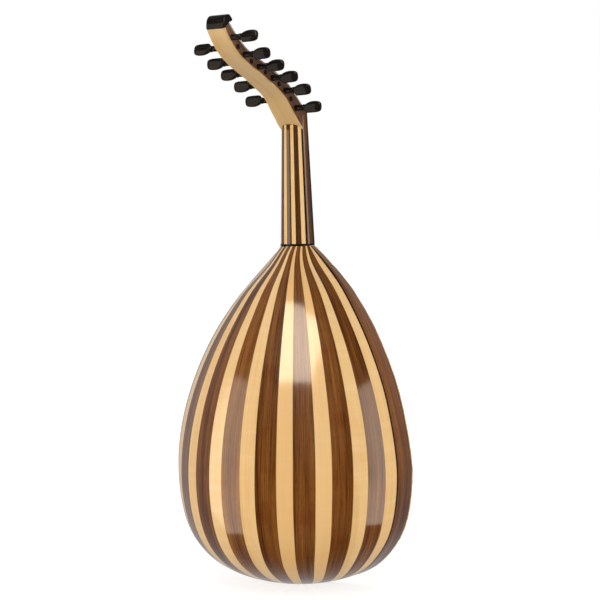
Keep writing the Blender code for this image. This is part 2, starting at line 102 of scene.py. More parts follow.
# The pegbox. Its line is the middle line's (y, z) from the nut, as in the CAD.
PEGBOX_LINE = [(0.0111, -0.0131), (0.0235, -0.0004), (0.0446, 0.0219), (0.0715, 0.0385), (0.0956, 0.0509)]
PEGBOX_LINE += [(0.1295, 0.067), (0.1494, 0.0812), (0.1617, 0.094), (0.1722, 0.1076)]
PEGBOX_WIDTHS = (0.0186, 0.0155)
PEGBOX_BACK_THICKNESS = 0.0025
CHEEK_THICKNESS = 0.004
PEGBOX_START = 0.003
PEGBOX_ROWS = 70
CHEEK_CAP, CHEEK_LINE = 0.0011, 0.0006
ARCH_DROP, ARCH_LEAST, ARCH_STEP, ARCH_ROWS = 0.0205, 0.006, 0.0001, 10
VENEER_COLUMNS = 41
VENEER_ROUNDING, VENEER_ROUNDED = 0.0009, 0.05
SNUG = 0.0001
FIRST_PEG_RUN = 0.0187
PEG_SPACING = 0.0167

# The soundboard's holes: X, distance below the neck joint, and radius
SOUND_HOLES = [(0.0, 0.165, 0.039), (-0.054, 0.243, 0.0155), (0.054, 0.243, 0.0155)]

# The strings, counted from the lowest, and the pegs whose turns look wound
STRING_COUNT = 11
WOUND_STRINGS = 5
WOUND_PEGS = (0, 2, 4, 6, 8)

# The camera: how it looks at the oud's back. The azimuth and elevation are in degrees.
CAMERA_AZIMUTH = 216.52
CAMERA_ELEVATION = 3.0
CAMERA_ROLL = math.radians(1.71)
CAMERA_DISTANCE = 2.9
CAMERA_AIM = Vector((0.0073, -0.0052, -0.2283))
CAMERA_LENS = 121.5


# ---------------- shapes


def smoothstep(value):
    value = min(max(value, 0.0), 1.0)
    return value * value * (3 - 2 * value)


def between(ends, share):
    return ends[0] + (ends[1] - ends[0]) * share


def spline(points):
    """A smooth function through the points, a natural cubic."""
    x, y = np.array(points, float).T
    last = len(x) - 1
    h = np.diff(x)
    rows = np.eye(last + 1)
    right = np.zeros(last + 1)
    for i in range(1, last):
        rows[i, i - 1 : i + 2] = h[i - 1], 2 * (h[i - 1] + h[i]), h[i]
        right[i] = 6 * ((y[i + 1] - y[i]) / h[i] - (y[i] - y[i - 1]) / h[i - 1])
    bend = np.linalg.solve(rows, right)

    def value(t):
        i = min(max(int(np.searchsorted(x, t)) - 1, 0), last - 1)
        a, b = x[i + 1] - t, t - x[i]
        cubic = (bend[i] * a**3 + bend[i + 1] * b**3) / (6 * h[i])
        left = (y[i] / h[i] - bend[i] * h[i] / 6) * a
        return float(cubic + left + (y[i + 1] / h[i] - bend[i + 1] * h[i] / 6) * b)

    return value


# The bowl's half width squared and depth squared, each over the distance left to the tail, at some
# distances below the neck joint, and how much wider the sides' shoulders are. They are the CAD's values,
# from a least-squares fit to the rib seams and outline in the photo.
SPREAD_AT = (0, 0.03, 0.06, 0.095, 0.129, 0.17, 0.22, 0.27, 0.319, 0.365, 0.408, 0.445, BOWL_LENGTH)
WIDTH_SPREADS = [0.00136, 0.00493, 0.01443, 0.02905, 0.04669, 0.07166, 0.10879]
WIDTH_SPREADS += [0.15394, 0.20675, 0.27187, 0.35731, 0.46641, 0.64588]
DEPTH_SPREADS = [0.00066, 0.00428, 0.01091, 0.02003, 0.03258, 0.05178, 0.08085]
DEPTH_SPREADS += [0.11697, 0.1621, 0.21795, 0.28667, 0.34969, 0.38356]
width_spread = spline(list(zip(SPREAD_AT, WIDTH_SPREADS)))
depth_spread = spline(list(zip(SPREAD_AT, DEPTH_SPREADS)))
FLARE_AT = (0, 0.02, 0.045, 0.07, 0.1, 0.14, 0.19, 0.25, 0.31)
FLARES = (0, 0.01036, 0.01202, 0.00925, 0.00743, 0.00417, 0.00168, -0.00162, 0)
FLARE_POWER = 30
shoulder_flare = spline(list(zip(FLARE_AT, FLARES)))


def side_flare(t):
    """How far each side spreads beyond the ellipse at t below the neck joint."""
    return shoulder_flare(t) if t < FLARE_AT[-1] else 0.0


def bowl_outer(t, angle):
    """A point of the bowl's outer face at t below the neck joint: angle 0 is the -X side."""
    half = math.sqrt((BOWL_LENGTH - t) * width_spread(t))
    deep = math.sqrt((BOWL_LENGTH - t) * depth_spread(t))
    rise = between((SIDE_RISE_AT_HEEL, SIDE_RISE), smoothstep(t / SIDE_RISE_RUN))
    lean = deep * TAIL_LEAN * smoothstep((t / BOWL_LENGTH - TAIL_LEAN_STARTS) / TAIL_LEAN_RUN)
    across = math.cos(angle)
    x = -half * across - side_flare(t) * math.copysign(abs(across) ** FLARE_POWER, across)
    return Vector((x, rise + deep * math.sin(angle), JOINT_Z - t - lean * math.sin(angle)))


def bowl_normal(t, angle):
    step_t, step_angle = 0.0002, 0.002
    along = bowl_outer(min(t + step_t, BOWL_LENGTH * BOWL_END), angle) - bowl_outer(max(t - step_t, 0), angle)
    across = bowl_outer(t, angle + step_angle) - bowl_outer(t, angle - step_angle)
    return across.cross(along).normalized()


def rib_seams():
    """The angle of each seam between ribs, from the -X side round to the +X side."""
    inner = [DARK_RIB_ANGLE if i % 2 else PALE_RIB_ANGLE for i in range(RIB_COUNT - 2)]
    side = (math.pi - sum(inner)) / 2
    angles = [0.0, side]
    for angle in inner:
        angles.append(angles[-1] + angle)
    return angles + [math.pi]


pegbox_runs = [0.0]
for near, far in zip(PEGBOX_LINE, PEGBOX_LINE[1:]):
    pegbox_runs.append(pegbox_runs[-1] + math.dist(near, far))
PEGBOX_LENGTH = pegbox_runs[-1]
pegbox_y = spline([(run, y) for run, (y, _) in zip(pegbox_runs, PEGBOX_LINE)])
pegbox_z = spline([(run, NUT_Z + z) for run, (_, z) in zip(pegbox_runs, PEGBOX_LINE)])
PEGBOX_DEPTHS = [(0, 0.0260), (0.018, 0.0242), (0.05, 0.0216), (0.08, 0.0206), (0.107, 0.0197)]
PEGBOX_DEPTHS += [(0.145, 0.0184), (0.169, 0.0184), (0.187, 0.0168), (PEGBOX_LENGTH, 0.0142)]
pegbox_depth = spline(PEGBOX_DEPTHS)


def pegbox_half_width(run):
    return between(PEGBOX_WIDTHS, run / PEGBOX_LENGTH)


def pegbox_point(run, offset):
    """The (y, z) point at a run along the pegbox, offset towards the strings, and the direction there."""
    step = 0.0005
    rise = pegbox_z(run + step) - pegbox_z(run - step)
    tangent = Vector((pegbox_y(run + step) - pegbox_y(run - step), rise))
    tangent.normalize()
    return Vector((pegbox_y(run) - offset * tangent.y, pegbox_z(run) + offset * tangent.x)), tangent


# ---------------- meshes


def piece(name, points, faces, material, body="body", replaces=(), uvs=None, sharp=38):
    """A smooth mesh with its material, riding on a CAD body. uvs gives each point's (u, v) in each layer."""
    mesh = bpy.data.meshes.new(name)
    mesh.from_pydata([tuple(p) for p in points], [], faces)
    for layer_name, values in (uvs or {}).items():
        layer = mesh.uv_layers.new(name=layer_name)
        flat = np.array([values[loop.vertex_index] for loop in mesh.loops], np.float32)
        layer.data.foreach_set("uv", flat.ravel())
    mesh.validate()
    mesh.shade_smooth()
    mesh.set_sharp_from_angle(angle=math.radians(sharp))
    mesh.materials.append(material)
    return settle(add_object(name, mesh), body, replaces)


def add_object(name, data):
    obj = bpy.data.objects.new(name, data)
    bpy.context.scene.collection.objects.link(obj)
    return obj


def settle(obj, body="body", replaces=()):
    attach(obj, body)
    if replaces:
        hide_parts(*replaces)
    return obj


def thread(name, lines, radius, material, slot, body="body", closed=False):
    """A round string along each list of points, riding on a CAD body."""
    curve = bpy.data.curves.new(name, "CURVE")
    curve.dimensions = "3D"
    for points in lines:
        line = curve.splines.new("POLY")
        line.points.add(len(points) - 1)
        for spot, point in zip(line.points, points):
            spot.co = (*point, 1)
        line.use_cyclic_u = closed
    curve.bevel_depth = radius
    curve.bevel_resolution = 2
    curve.use_fill_caps = not closed
    curve.materials.append(material)
    return settle(add_object(name, curve), body)


def loft(rings):
    """Points and faces of a closed solid through rings of points, with a cap at each end."""
    count = len(rings[0])
    points = [p for ring in rings for p in ring]
    faces = []
    for row in range(len(rings) - 1):
        base = row * count
        for i in range(count):
            j = (i + 1) % count
            faces.append((base + i, base + j, base + count + j, base + count + i))
    faces.append(tuple(range(count))[::-1])
    faces.append(tuple(range(len(points) - count, len(points))))
    volume = sum(signed_volume([points[i] for i in face]) for face in faces)
    if volume < 0:
        faces = [face[::-1] for face in faces]
    return points, faces


def signed_volume(corners):
    a = Vector(corners[0])
    return sum(a.dot(Vector(b).cross(Vector(c))) for b, c in zip(corners[1:], corners[2:]))


def ring_x(x, half_y, half_z, sides, power=1.0):
    """A ring of points across X. A power under 1 makes the oval squarer."""
    ring = []
    for i in range(sides):
        turn = math.tau * (i + 0.5) / sides
        c, s = math.cos(turn), math.sin(turn)
        y = half_y * math.copysign(abs(c) ** power, c)
        ring.append(Vector((x, y, half_z * math.copysign(abs(s) ** power, s))))
    return ring


def rounded_box_ring(low, high, front, back, radius):
    """A rectangle's ring with cut corners: X from low to high, between two (y, z) points."""
    along = (back - front).normalized()
    near, far = front + along * radius, back - along * radius
    ring = [(low + radius, *front), (high - radius, *front), (high, *near), (high, *far)]
    return ring + [(high - radius, *back), (low + radius, *back), (low, *far), (low, *near)]


# ---------------- materials


class Tree:
    """The nodes of a new material or of a given world, with short calls to add and link them."""

    def __init__(self, name, world=None):
        self.owner = world or bpy.data.materials.new(name)
        self.owner.use_nodes = True
        self.nodes = self.owner.node_tree.nodes
        self.links = self.owner.node_tree.links
        self.shader = self.nodes.get("Principled BSDF")

    def add(self, kind, inputs=(), **settings):
        node = self.nodes.new(kind)
        for key, value in settings.items():
            setattr(node, key, value)
        for key, value in dict(inputs).items():
            self.feed(node.inputs[key], value)
        return node

    def feed(self, socket, value):
        if isinstance(value, bpy.types.NodeSocket):
            self.links.new(value, socket)
        else:
            socket.default_value = value

    def stretched(self, place, scale):
        return self.add("ShaderNodeMapping", {"Vector": place, "Scale": scale}).outputs["Vector"]

    def noise(self, place, scale, detail=3.0, roughness=0.55):
        inputs = {"Vector": self.stretched(place, scale), "Scale": 1.0}
        inputs |= {"Detail": detail, "Roughness": roughness}
        return self.add("ShaderNodeTexNoise", inputs).outputs["Fac"]

    def ramp(self, value, stops):
        node = self.add("ShaderNodeValToRGB", {"Fac": value})
        ramp = node.color_ramp
        while len(ramp.elements) < len(stops):
            ramp.elements.new(0.5)
        for element, (position, colour) in zip(ramp.elements, stops):
            element.position = position
            element.color = (*colour, 1.0)
        return node.outputs["Color"]

    def mask(self, value, low, high):
        """0 below low and 1 above high."""
        inputs = {"Value": value, "From Min": low, "From Max": high}
        return self.add("ShaderNodeMapRange", inputs, interpolation_type="SMOOTHSTEP").outputs["Result"]

    def math(self, operation, a, b):
        return self.add("ShaderNodeMath", {0: a, 1: b}, operation=operation).outputs[0]

    def mix(self, share, a, b, blend="MIX"):
        node = self.add("ShaderNodeMix", data_type="RGBA", blend_type=blend)
        self.feed(node.inputs[0], share)
        for socket, value in ((node.inputs[6], a), (node.inputs[7], b)):
            self.feed(socket, (*value, 1.0) if isinstance(value, tuple) else value)
        return node.outputs[2]

    def bump(self, height, strength, distance):
        inputs = {"Height": height, "Strength": strength, "Distance": distance}
        self.links.new(self.add("ShaderNodeBump", inputs).outputs["Normal"], self.shader.inputs["Normal"])

    def finish(self, colour, roughness, coat=0.0, coat_roughness=0.03, **others):
        self.feed(self.shader.inputs["Base Color"], colour)
        self.feed(self.shader.inputs["Roughness"], roughness)
        self.shader.inputs["Coat Weight"].default_value = coat
        self.shader.inputs["Coat Roughness"].default_value = coat_roughness
        for name, value in others.items():
            self.shader.inputs[name.replace("_", " ")].default_value = value
        return self.owner


def wood_place(tree, from_uv):
    """Where the grain is read, in metres: X across the grain and Y along it."""
    if from_uv:
        return tree.add("ShaderNodeUVMap", uv_map="grain").outputs["UV"]
    place = tree.add("ShaderNodeTexCoord").outputs["Object"]
    split = tree.add("ShaderNodeSeparateXYZ", {"Vector": place})
    across = tree.math("ADD", split.outputs["X"], split.outputs["Y"])
    return tree.add("ShaderNodeCombineXYZ", {"X": across, "Y": split.outputs["Z"]}).outputs["Vector"]


def edge_and_tone(tree):
    """The distance to the strip's nearest edge, in metres, and the strip's own tone from 0 to 1."""
    place = tree.add("ShaderNodeUVMap", uv_map="edge").outputs["UV"]
    split = tree.add("ShaderNodeSeparateXYZ", {"Vector": place})
    return split.outputs["X"], split.outputs["Y"]


COAT_ROUGHNESS = 0.11


def base_shine(coat):
    """How much the wood itself reflects: less where a full coat of lacquer does it."""
    return 0.10 if coat > 0.5 else 0.35


def walnut(name, from_uv=True, coat=1.0, shade=1.0, greyness=0.0):
    """Dark walnut: long streaks, fine fibres and short open pores under lacquer."""
    tree = Tree(name)
    place = wood_place(tree, from_uv)
    streaks = tree.noise(place, (85, 2.6, 1), 4.0, 0.6)
    fibres = tree.noise(place, (650, 11, 1), 2.0, 0.6)
    bands = tree.noise(place, (14, 22, 1), 2.0, 0.5)
    pores = tree.mask(tree.noise(place, (1500, 90, 1), 1.0, 0.5), 0.60, 0.72)
    tone = tree.math("ADD", tree.math("MULTIPLY", streaks, 0.62), tree.math("MULTIPLY", fibres, 0.38))
    if from_uv:
        _, rib_tone = edge_and_tone(tree)
        tone = tree.math("ADD", tone, tree.math("MULTIPLY", rib_tone, 0.10))

    def tint(colour):
        grey = sum(colour) / 3
        return tuple(shade * (c + (grey - c) * greyness) for c in colour)

    stops = [(0.33, tint((0.024, 0.0068, 0.0022))), (0.43, tint((0.075, 0.022, 0.0045)))]
    stops += [(0.55, tint((0.170, 0.056, 0.0090))), (0.70, tint((0.285, 0.108, 0.0200)))]
    colour = tree.ramp(tone, stops)
    shimmer = tree.math("MULTIPLY", tree.mask(bands, 0.45, 0.75), 0.35)
    colour = tree.mix(shimmer, colour, tint((0.26, 0.105, 0.026)), "SOFT_LIGHT")
    colour = tree.mix(tree.math("MULTIPLY", pores, 0.55), colour, tint((0.022, 0.0075, 0.003)))
    tree.bump(fibres, 0.10, 0.0002)
    shine = base_shine(coat)
    return tree.finish(colour, tree.mask(fibres, -0.6, 2.2), coat, COAT_ROUGHNESS, Specular_IOR_Level=shine)


def maple(name, from_uv=True, coat=1.0, tint=(1.0, 1.0, 1.0), seams=True, ripple=0.22):
    """Pale maple: faint fibres, broad clouds, a soft cross figure and a darker glue line at the seams."""
    tree = Tree(name)
    place = wood_place(tree, from_uv)
    fibres = tree.noise(place, (420, 7, 1), 3.0, 0.6)
    broad = tree.noise(place, (26, 3.2, 1), 3.0, 0.5)
    figure = tree.noise(place, (9, 95, 1), 2.0, 0.45)
    tone = tree.math("ADD", tree.math("MULTIPLY", fibres, 0.35), tree.math("MULTIPLY", broad, 0.65))
    colours = ((0.30, (0.69, 0.410, 0.155)), (0.50, (0.81, 0.535, 0.240)), (0.72, (0.89, 0.650, 0.345)))
    stops = [(at, tuple(c * k for c, k in zip(colour, tint))) for at, colour in colours]
    colour = tree.ramp(tone, stops)
    pale = tuple(c * k for c, k in zip((0.93, 0.71, 0.42), tint))
    colour = tree.mix(tree.math("MULTIPLY", tree.mask(figure, 0.45, 0.75), ripple), colour, pale)
    if from_uv and seams:
        edge, rib_tone = edge_and_tone(tree)
        colour = tree.mix(tree.math("MULTIPLY", rib_tone, 0.75), colour, (0.80, 0.470, 0.175))
        colour = tree.mix(tree.mask(edge, 0.00022, 0.0006), (0.13, 0.065, 0.03), colour)
    tree.bump(fibres, 0.05, 0.0002)
    return tree.finish(colour, 0.38, coat, COAT_ROUGHNESS, Specular_IOR_Level=base_shine(coat))


def ebony(name):
    """Polished ebony: nearly black, with faint brown grain."""
    tree = Tree(name)
    place = tree.add("ShaderNodeTexCoord").outputs["Object"]
    grain = tree.noise(place, (40, 600, 600), 3.0, 0.6)
    stops = [(0.35, (0.004, 0.0035, 0.0035)), (0.62, (0.014, 0.010, 0.008)), (0.8, (0.03, 0.018, 0.012))]
    colour = tree.ramp(grain, stops)
    tree.bump(grain, 0.12, 0.0002)
    return tree.finish(colour, tree.mask(grain, -0.8, 2.6), 0.16, 0.05, Specular_IOR_Level=0.03)


def spruce(name):
    """Spruce: close straight growth lines along the board, and faint cross silk."""
    tree = Tree(name)
    place = tree.add("ShaderNodeTexCoord").outputs["Object"]
    wander = tree.noise(place, (4, 4, 1.5), 2.0, 0.5)
    split = tree.add("ShaderNodeSeparateXYZ", {"Vector": place})
    across = tree.math("ADD", split.outputs["X"], tree.math("MULTIPLY", wander, 0.012))
    lines = tree.math("SINE", tree.math("MULTIPLY", across, 4700.0), 0.0)
    bands = tree.noise(place, (260, 22, 3), 2.0, 0.5)
    silk = tree.noise(place, (22, 22, 500), 2.0, 0.5)
    grain = tree.math("ADD", tree.math("MULTIPLY", bands, 0.78), tree.math("MULTIPLY", silk, 0.12))
    tone = tree.math("ADD", tree.math("MULTIPLY", lines, 0.18), grain)
    stops = [(0.2, (0.80, 0.57, 0.31)), (0.5, (0.72, 0.47, 0.22)), (0.85, (0.52, 0.29, 0.12))]
    colour = tree.ramp(tone, stops)
    tree.bump(lines, 0.08, 0.0001)
    return tree.finish(colour, 0.42, 0.25, 0.2)


def bone(name):
    """Ivory-coloured bone with soft clouds."""
    tree = Tree(name)
    place = tree.add("ShaderNodeTexCoord").outputs["Object"]
    clouds = tree.noise(place, (90, 90, 25), 3.0, 0.5)
    colour = tree.ramp(clouds, [(0.35, (0.80, 0.73, 0.56)), (0.65, (0.90, 0.86, 0.74))])
    tree.bump(clouds, 0.05, 0.0002)
    return tree.finish(colour, 0.32, 0.3, 0.1)


def nylon(name):
    """Clear, slightly warm nylon."""
    tree = Tree(name)
    place = tree.add("ShaderNodeTexCoord").outputs["Object"]
    clouds = tree.noise(place, (60, 60, 60))
    colour = tree.ramp(clouds, [(0.3, (0.74, 0.70, 0.60)), (0.7, (0.86, 0.84, 0.77))])
    return tree.finish(colour, 0.22, 0.2, 0.1)


def wound_string(name):
    """A silvered winding: fine ridges round the string."""
    tree = Tree(name)
    place = tree.add("ShaderNodeTexCoord").outputs["Object"]
    split = tree.add("ShaderNodeSeparateXYZ", {"Vector": place})
    ridges = tree.math("SINE", tree.math("MULTIPLY", split.outputs["Z"], 9000.0), 0.0)
    colour = tree.ramp(ridges, [(0.0, (0.30, 0.27, 0.22)), (0.9, (0.66, 0.62, 0.55))])
    tree.bump(ridges, 0.3, 0.0001)
    return tree.finish(colour, 0.34, Metallic=0.85)


WALNUT = walnut("lacquered_walnut")
NECK_WALNUT = walnut("neck_walnut", shade=0.36)
NECK_SIDE_WALNUT = walnut("neck_side_walnut", shade=0.75)
PLAIN_WALNUT = walnut("plain_walnut", from_uv=False, coat=0.4)
CHEEK_WALNUT = walnut("cheek_walnut", coat=0.0, shade=0.98, greyness=0.24)
ROOT_WALNUT = walnut("root_walnut", from_uv=False, coat=0.0, shade=0.98, greyness=0.24)
MAPLE = maple("lacquered_maple")
VENEER = maple("pale_veneer", coat=0.25, tint=(0.76, 0.77, 0.75), seams=False, ripple=0.08)
EBONY = ebony("ebony")
SPRUCE = spruce("spruce")
BONE = bone("bone")
NYLON = nylon("nylon")
WOUND = wound_string("wound_string")


# ---------------- the bowl

random = np.random.default_rng(7)


def rib_station(i):
    """The i-th distance along the bowl, closer together towards the tail."""
    end = math.asin(0.9985)
    return max(GAP, BOWL_LENGTH * math.sin(end * i / (RIB_STATIONS - 1)))


def strip_point(t, low, high, share, roundness):
    """A point across a rib: between the flat chord and the round bowl."""
    flat = bowl_outer(t, low).lerp(bowl_outer(t, high), share)
    return flat.lerp(bowl_outer(t, between((low, high), share)), roundness)


def shell_strip(name, edges_at, columns, roundness, material, replaces=(), foot=None, tone=None):
    """A closed curved strip of the bowl. edges_at(t) gives the angles of its two edges.

    foot is the end of the strip that goes down to the soundboard, and tone is drawn when it isn't given.
    """
    rings, grain, edge = [], [], []
    drawn_tone = random.uniform(0, 1)
    tone = drawn_tone if tone is None else tone
    shift = random.uniform(0, 4, 2)
    along = 0.0
    previous = None
    for i in range(RIB_STATIONS):
        t = rib_station(i)
        low, high = edges_at(t)
        outer = [strip_point(t, low, high, c / (columns - 1), roundness) for c in range(columns)]
        normal = bowl_normal(t, between((low, high), 0.5))
        if foot is not None:
            corner = outer[foot]
            heights = (SIDE_FOOT, between((SIDE_FOOT, corner.y), 0.6))
            feet = [Vector((corner.x, y, corner.z)) for y in heights]
            outer = feet + outer if foot == 0 else outer + feet[::-1]
        inner = [outer[-1] - normal * RIB_THICKNESS, outer[0] - normal * RIB_THICKNESS]
        rings.append(outer + inner)
        middle = outer[len(outer) // 2]
        along += (middle - previous).length if previous else 0.0
        previous = middle
        across = [0.0]
        for a, b in zip(outer, outer[1:]):
            across.append(across[-1] + (b - a).length)
        width = across[-1]
        grain += [(shift[0] + u - width / 2, shift[1] + along) for u in across + [width, 0.0]]
        edge += [(min(u, width - u), tone) for u in across + [width, 0.0]]
    points, faces = loft(rings)
    return piece(name, points, faces, material, replaces=replaces, uvs={"grain": grain, "edge": edge})


def inlay_angle(t, angle):
    """The angle that the inlay line's width takes up at t."""
    speed = (bowl_outer(t, angle + 0.01) - bowl_outer(t, angle - 0.01)).length / 0.02
    return min(INLAY_WIDTH / speed, 0.4 * rib_seams()[1])


# How orange each maple rib is, from the -X side to the +X side
MAPLE_TONES = (0.15, 0.05, 0.75, 0.90, 0.20, 0.10, 0.25, 0.40, 0.15, 0.50)


def make_bowl():
    """The ribs, and the dark lines let in beside the two that meet the soundboard."""
    seams = rib_seams()
    last = RIB_COUNT - 1
    for number in range(1, last):
        dark = number % 2 == 0
        low, high = seams[number], seams[number + 1]
        name = f"rib_{number + 1:02d}"
        shell, edges = f"{name}_shell", (low, high)
        material, slot = (WALNUT, "walnut") if dark else (MAPLE, "maple")
        tone = None if dark else MAPLE_TONES[number // 2]
        shell_strip(shell, lambda t: edges, RIB_COLUMNS, RIB_ROUNDNESS, material, (name,), tone=tone)
    first_seam, last_seam = seams[1], seams[last]

    def line_left(t):
        return first_seam - inlay_angle(t, first_seam), first_seam

    def line_right(t):
        return last_seam, last_seam + inlay_angle(t, last_seam)

    def side_left(t):
        return 0.0, line_left(t)[0]

    def side_right(t):
        return line_right(t)[1], math.pi

    shell_strip("rib_01_side", side_left, SIDE_COLUMNS, 1.0, WALNUT, ("rib_01",), 0)
    shell_strip("rib_21_side", side_right, SIDE_COLUMNS, 1.0, WALNUT, ("rib_21",), -1)
    shell_strip("side_line_left", line_left, 2, 1.0, EBONY)
    shell_strip("side_line_right", line_right, 2, 1.0, EBONY)


# ---------------- the neck


def neck_point(angle, z, grow=0.0):
    """A point of the neck's round back: angle 0 is the -X side."""
    share = (NUT_Z - z) / NECK_LENGTH
    half = between(NECK_HALF_WIDTHS, share) + grow
    deep = between(NECK_ROUNDS, share) + grow
    return Vector((-half * math.cos(angle), between(NECK_SIDES, share) + deep * math.sin(angle), z))


def neck_top(y):
    """The height where the neck's top slopes down behind the nut."""
    return NUT_Z - 0.0005 - NECK_TOP_SLOPE * (y - NECK_FOOT)


def neck_strip(name, low, high, material, replaces=(), side=None):
    """A wedge of the neck between two angles, in degrees, from its middle line to its outer face."""
    steps = max(2, round((high - low) / NECK_STEP))
    angles = [math.radians(low + (high - low) * i / steps) for i in range(steps + 1)]
    heel_z = JOINT_Z + GAP
    shift = random.uniform(0, 4, 2)
    tone = random.uniform(0, 1)
    rings, grain, edge = [], [], []
    for row in range(NECK_ROWS):
        share = row / (NECK_ROWS - 1)
        ring = []
        for angle in angles:
            top = neck_top(neck_point(angle, NUT_Z - 0.02).y)
            ring.append(neck_point(angle, between((heel_z, top), share)))
        if side:
            corner = ring[0] if side == "left" else ring[-1]
            foot = Vector((corner.x, NECK_FOOT, between((heel_z, neck_top(NECK_FOOT)), share)))
            ring = [foot] + ring if side == "left" else ring + [foot]
        ring.append(Vector((0, NECK_FOOT, between((heel_z, neck_top(NECK_FOOT)), share))))
        rings.append(ring)
        across = [0.0]
        for a, b in zip(ring[:-1], ring[1:-1]):
            across.append(across[-1] + (b - a).length)
        width = across[-1]
        grain += [(shift[0] + u, shift[1] + ring[0].z) for u in across + [width / 2]]
        edge += [(min(u, width - u), tone) for u in across + [width / 2]]
    points, faces = loft(rings)
    return piece(name, points, faces, material, replaces=replaces, uvs={"grain": grain, "edge": edge})


def make_neck():
    """Strips round the neck's back, dark and pale, and a dark band where it meets the bowl."""
    edges = NECK_STRIP_EDGES
    neck_strip("neck_side_left", 0, edges[0], NECK_SIDE_WALNUT, ("neck",), "left")
    neck_strip("neck_side_right", edges[-1], 180, NECK_SIDE_WALNUT, (), "right")
    neck_strip("neck_line_left", edges[0], edges[1], EBONY)
    neck_strip("neck_line_right", edges[-2], edges[-1], EBONY)
    for i in range(7):
        pale = i % 2 == 0
        material, slot = (MAPLE, "maple") if pale else (NECK_WALNUT, "walnut")
        neck_strip(f"neck_strip_{i + 1}", edges[i + 1], edges[i + 2], material)

    rings = []
    angles = [math.pi * i / HEEL_BAND_STEPS for i in range(HEEL_BAND_STEPS + 1)]
    for height, grow in HEEL_BAND:
        z = JOINT_Z + height
        ring = [neck_point(a, z, grow) for a in angles]
        ring = [Vector((ring[0].x, NECK_FOOT, z))] + ring + [Vector((ring[-1].x, NECK_FOOT, z))]
        rings.append(ring)
    points, faces = loft(rings)
    piece("heel_band", points, faces, EBONY)


# ---------------- the pegbox


def pegbox_rows(start, end, count=PEGBOX_ROWS):
    """Evenly spaced runs along the pegbox."""
    return [start + (end - start) * i / (count - 1) for i in range(count)]


def run_strip(name, section_at, material, replaces=()):
    """A long piece that follows the pegbox: section_at(run) gives its ring."""
    rings, grain, edge = [], [], []
    for run in pegbox_rows(PEGBOX_START + GAP, PEGBOX_LENGTH):
        ring = [Vector(p) for p in section_at(run)]
        rings.append(ring)
        across = 0.0
        for i, point in enumerate(ring):
            across += (point - ring[i - 1]).length if i else 0.0
            grain.append((across + 0.7, run + 1.3))
            edge.append((0.01, 0.5))
    points, faces = loft(rings)
    return piece(name, points, faces, material, replaces=replaces, uvs={"grain": grain, "edge": edge})


def cheek_section(run, side, top, bottom, thickness, grow, radius):
    """The ring of one layer of a cheek, between two depths below its edge on the strings' side."""
    front = pegbox_point(run, pegbox_depth(run) / 2 - top)[0]
    back = pegbox_point(run, pegbox_depth(run) / 2 - bottom)[0]
    outer = pegbox_half_width(run) + grow
    ends = sorted((side * outer, side * (outer - thickness)))
    return rounded_box_ring(ends[0], ends[1], front, back, radius)


def make_cheeks():
    """Each cheek in walnut, with a pale line and a dark cap along its edge on the strings' side."""
    lined = CHEEK_CAP + CHEEK_LINE
    for side, name in ((-1, "left"), (1, "right")):

        def cheek(run):
            bottom = pegbox_depth(run) - PEGBOX_BACK_THICKNESS - SNUG
            return cheek_section(run, side, lined, bottom, CHEEK_THICKNESS, 0, 0.0002)

        def line(run):
            return cheek_section(run, side, CHEEK_CAP, lined, CHEEK_THICKNESS, 0.00005, 0.0001)

        def cap(run):
            return cheek_section(run, side, 0, CHEEK_CAP, CHEEK_THICKNESS + 0.0001, 0.0001, 0.0003)

        run_strip(f"cheek_{name}", cheek, CHEEK_WALNUT, (f"pegbox_cheek_{name}",))
        run_strip(f"cheek_line_{name}", line, BONE)
        run_strip(f"cheek_cap_{name}", cap, EBONY)


def veneer_end(x, inset):
    """How far below the pegbox's start the veneer's face meets the neck's round back, at X."""
    start, tangent = pegbox_point(PEGBOX_START, -pegbox_depth(PEGBOX_START) / 2 + inset)
    for step in range(400):
        drop = ARCH_LEAST + ARCH_STEP * step
        point = start - tangent * drop
        share = (NUT_Z - point.y) / NECK_LENGTH
        half = between(NECK_HALF_WIDTHS, share) + SNUG
        deep = between(NECK_ROUNDS, share)
        surface = between(NECK_SIDES, share) + deep * math.sqrt(max(0.0, 1 - (x / half) ** 2))
        if point.x < surface + SNUG or drop > ARCH_DROP:
            break
    return drop


def veneer_face(share, inset):
    """One line of the veneer from its arch to the finial: share runs from -1 to 1 across it."""
    start, tangent = pegbox_point(PEGBOX_START, -pegbox_depth(PEGBOX_START) / 2 + inset)
    x = share * pegbox_half_width(0)
    drop = veneer_end(x, inset)
    face = []
    for i in range(ARCH_ROWS):
        point = start - tangent * (drop * (1 - i / (ARCH_ROWS - 1)))
        face.append(Vector((x, point.x, point.y)))
    for run in pegbox_rows(PEGBOX_START, PEGBOX_LENGTH)[1:]:
        point, along = pegbox_point(run, -pegbox_depth(run) / 2 + inset)
        round_edge = VENEER_ROUNDING * max(0.0, abs(share) - (1 - VENEER_ROUNDED)) / VENEER_ROUNDED
        if inset:
            round_edge = 0.0
        y, z = point.x - along.y * round_edge, point.y + along.x * round_edge
        face.append(Vector((share * pegbox_half_width(run), y, z)))
    return face


def make_back_veneer():
    """The pegbox's pale back, whose lower end meets the neck's round back in an arch."""
    rings, grain, edge = [], [], []
    for column in range(VENEER_COLUMNS):
        share = -1 + 2 * column / (VENEER_COLUMNS - 1)
        ring = veneer_face(share, 0.0) + veneer_face(share, PEGBOX_BACK_THICKNESS)[::-1]
        rings.append(ring)
        for point in ring:
            grain.append((point.x + 2.2, math.hypot(point.y, point.z) + 0.4))
            edge.append((0.01, 0.4))
    points, faces = loft(rings)
    uvs = {"grain": grain, "edge": edge}
    piece("back_veneer", points, faces, VENEER, replaces=("pegbox_back",), uvs=uvs)


